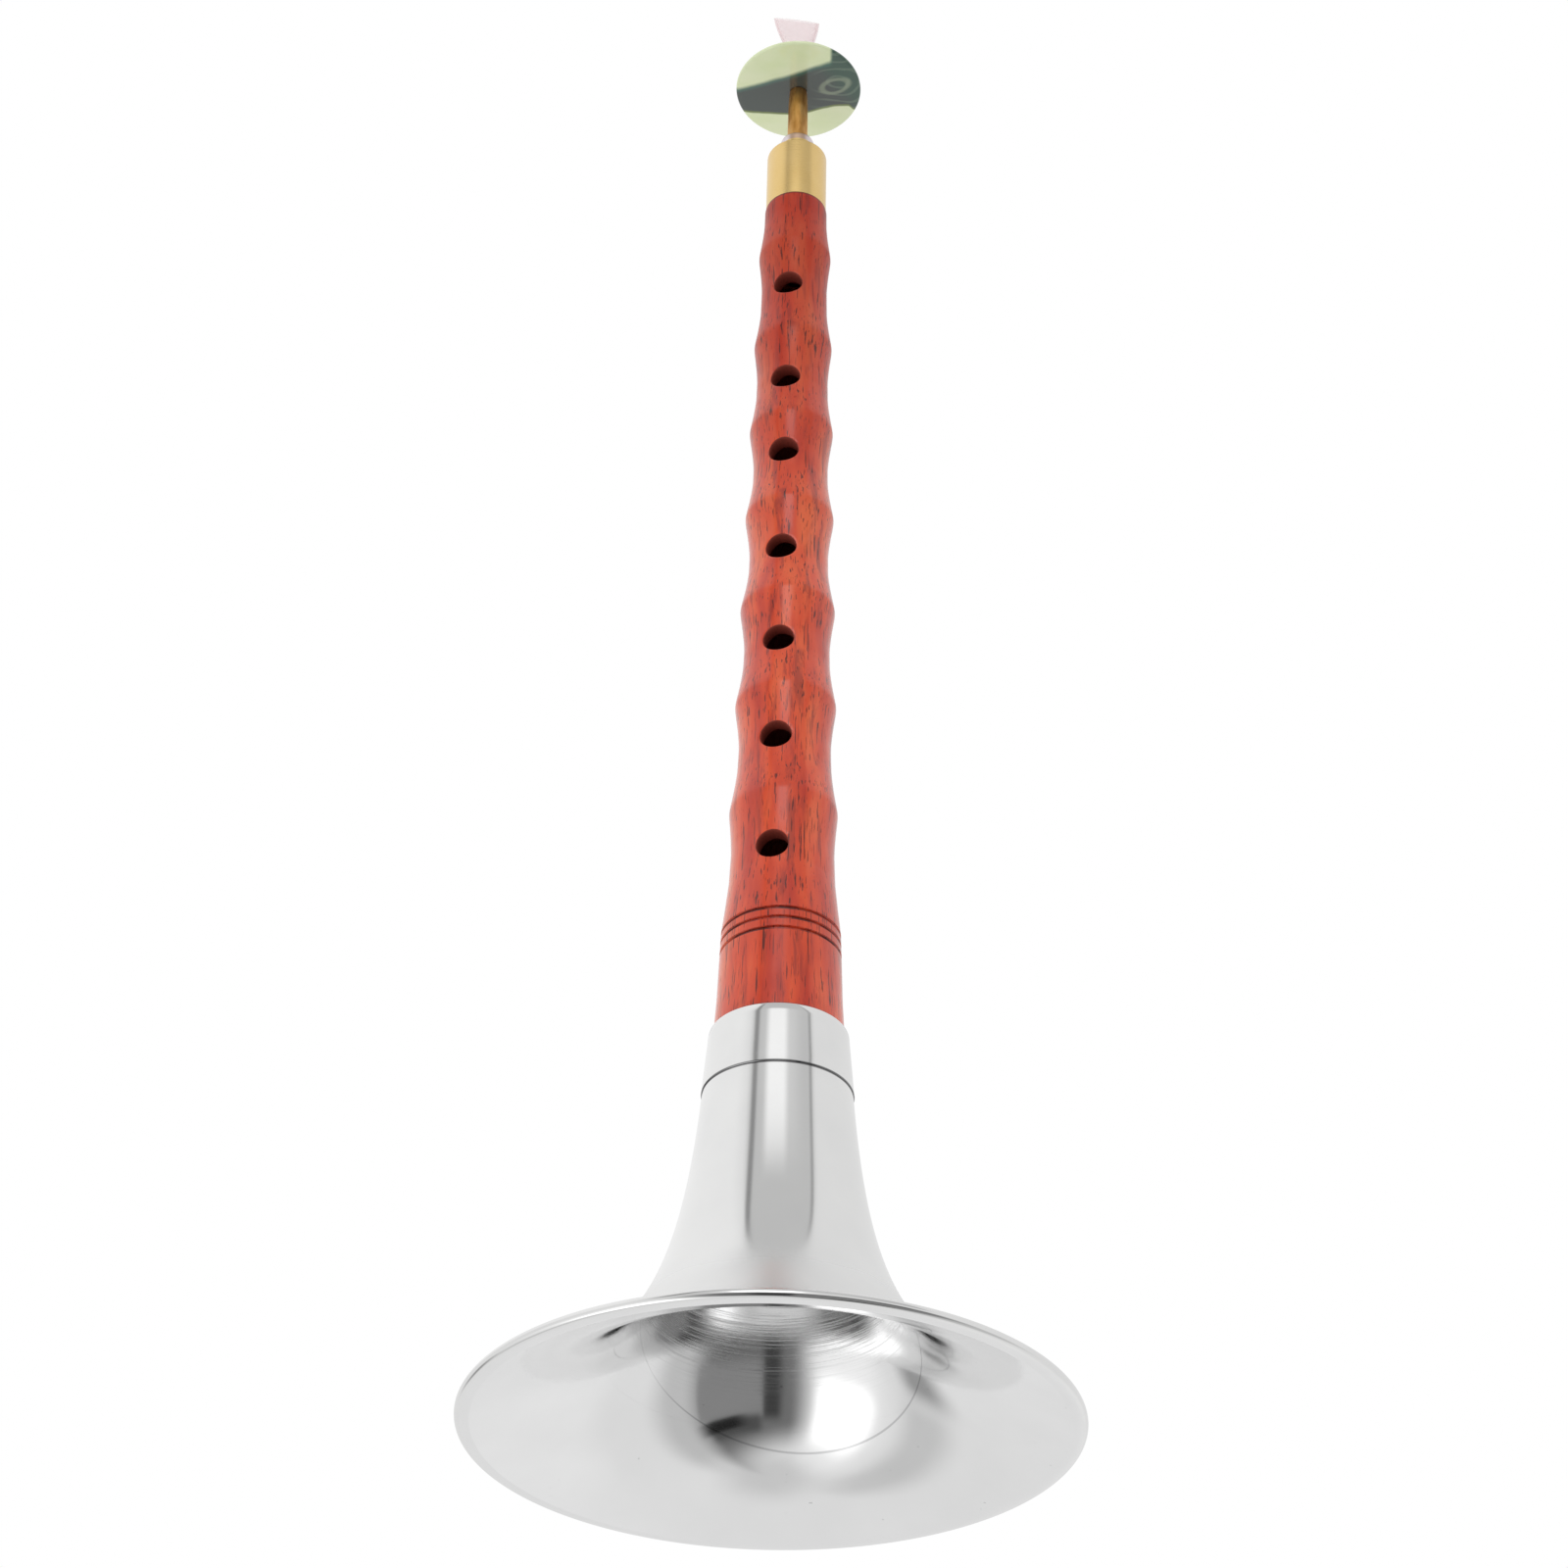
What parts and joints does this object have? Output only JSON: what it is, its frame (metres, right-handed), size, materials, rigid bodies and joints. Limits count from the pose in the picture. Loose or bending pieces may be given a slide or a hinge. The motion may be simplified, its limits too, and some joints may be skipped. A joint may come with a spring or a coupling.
{
  "type": "suona",
  "caption": "Conical wooden double-reed horn with ridged body, finger holes, flared metal bell, brass core, round lip disc and fan-shaped reed.",
  "frame": {"origin": "centre of the plane on which the bell's rim stands", "axes": "+Z along the bore, from the bell's rim to the reed's tip; the finger holes face -Y, turned about 12 degrees towards -X"},
  "size_m": [0.1084, 0.1084, 0.362],
  "materials": {
    "bell_metal": "polished silver-coloured plate with fine circular brush marks in the throat",
    "body_wood": "red-orange hardwood, fine dark pores along the grain, satin",
    "thread": "wound cotton thread",
    "cap_brass": "turned brass, satin",
    "tube_brass": "darker drawn brass, satin",
    "solder": "bright tin solder",
    "marbled_plastic": "polished, marbled pale yellow-green and grey-green",
    "reed_plastic": "thin translucent pale pink plastic",
    "enamelled_wire": "red-brown enamelled copper wire"
  },
  "bodies": {
    "bell": {"bell_flare": "bell_metal", "bell_throat": "bell_metal", "bell_collar": "bell_metal"},
    "body": {"shaft": "body_wood", "shaft_lapping": "thread"},
    "core": {"core_ferrule": "cap_brass", "core_lapping": "thread", "core_pipe": "tube_brass", "neck_ring": "solder"},
    "disc": {"air_disc": "marbled_plastic"},
    "reed": {"reed_blade": "reed_plastic", "reed_binding": "enamelled_wire"}
  },
  "joints": [
    {"name": "body_lift", "type": "slide", "parent": "bell", "child": "body", "axis": [0, 0, 1], "range_m": [0, 0.025]},
    {"name": "core_draw", "type": "slide", "parent": "body", "child": "core", "axis": [0, 0, 1], "range_m": [0, 0.03]},
    {"name": "disc_slide", "type": "slide", "parent": "core", "child": "disc", "axis": [0, 0, 1], "range_m": [0, 0.0014]},
    {"name": "reed_pull", "type": "slide", "parent": "core", "child": "reed", "axis": [0, 0, 1], "range_m": [0, 0.014]}
  ]
}
